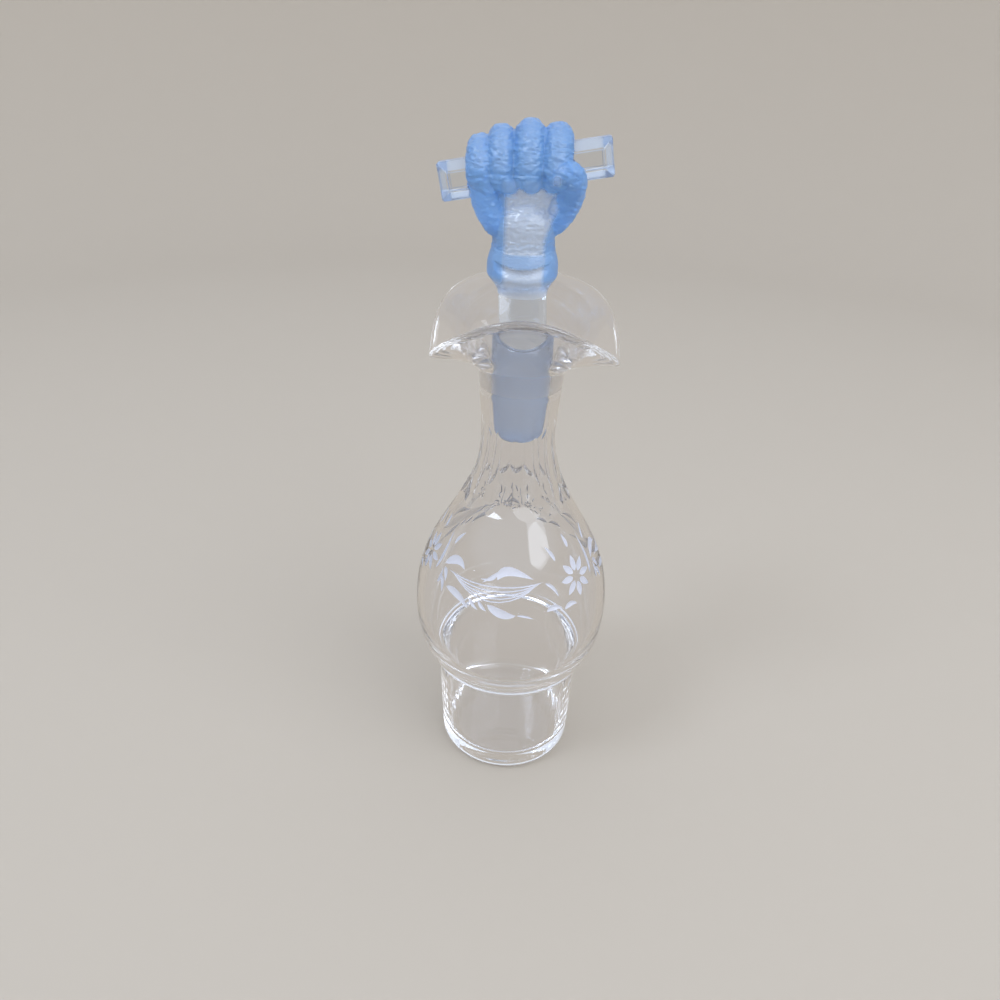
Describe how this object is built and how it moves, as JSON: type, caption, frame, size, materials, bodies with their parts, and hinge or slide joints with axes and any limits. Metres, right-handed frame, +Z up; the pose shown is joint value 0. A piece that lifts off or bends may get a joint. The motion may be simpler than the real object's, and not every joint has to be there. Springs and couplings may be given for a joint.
{
  "type": "carafe with stopper",
  "caption": "Clear glass cruet carafe with a stepped foot, round belly, fluted neck and two-spout lip, closed by a ground glass stopper shaped as a fist gripping a bar.",
  "frame": {"origin": "centre of the foot's underside", "axes": "+Z up along the bottle's axis; the fist's palm side looks along -Y; the two spouts point along -X and +X"},
  "size_m": [0.0588, 0.0588, 0.1901],
  "materials": {
    "clear_glass": "blown, cut and wheel-engraved clear glass",
    "pressed_glass": "pressed glass, frosted fist and ground plug, clear bar and shank"
  },
  "bodies": {
    "bottle": {"bottle": "clear_glass"},
    "stopper": {"stopper": "pressed_glass"}
  },
  "joints": [
    {"name": "stopper_lift", "type": "slide", "parent": "bottle", "child": "stopper", "axis": [0, 0, 1], "range_m": [0, 0.06]}
  ]
}
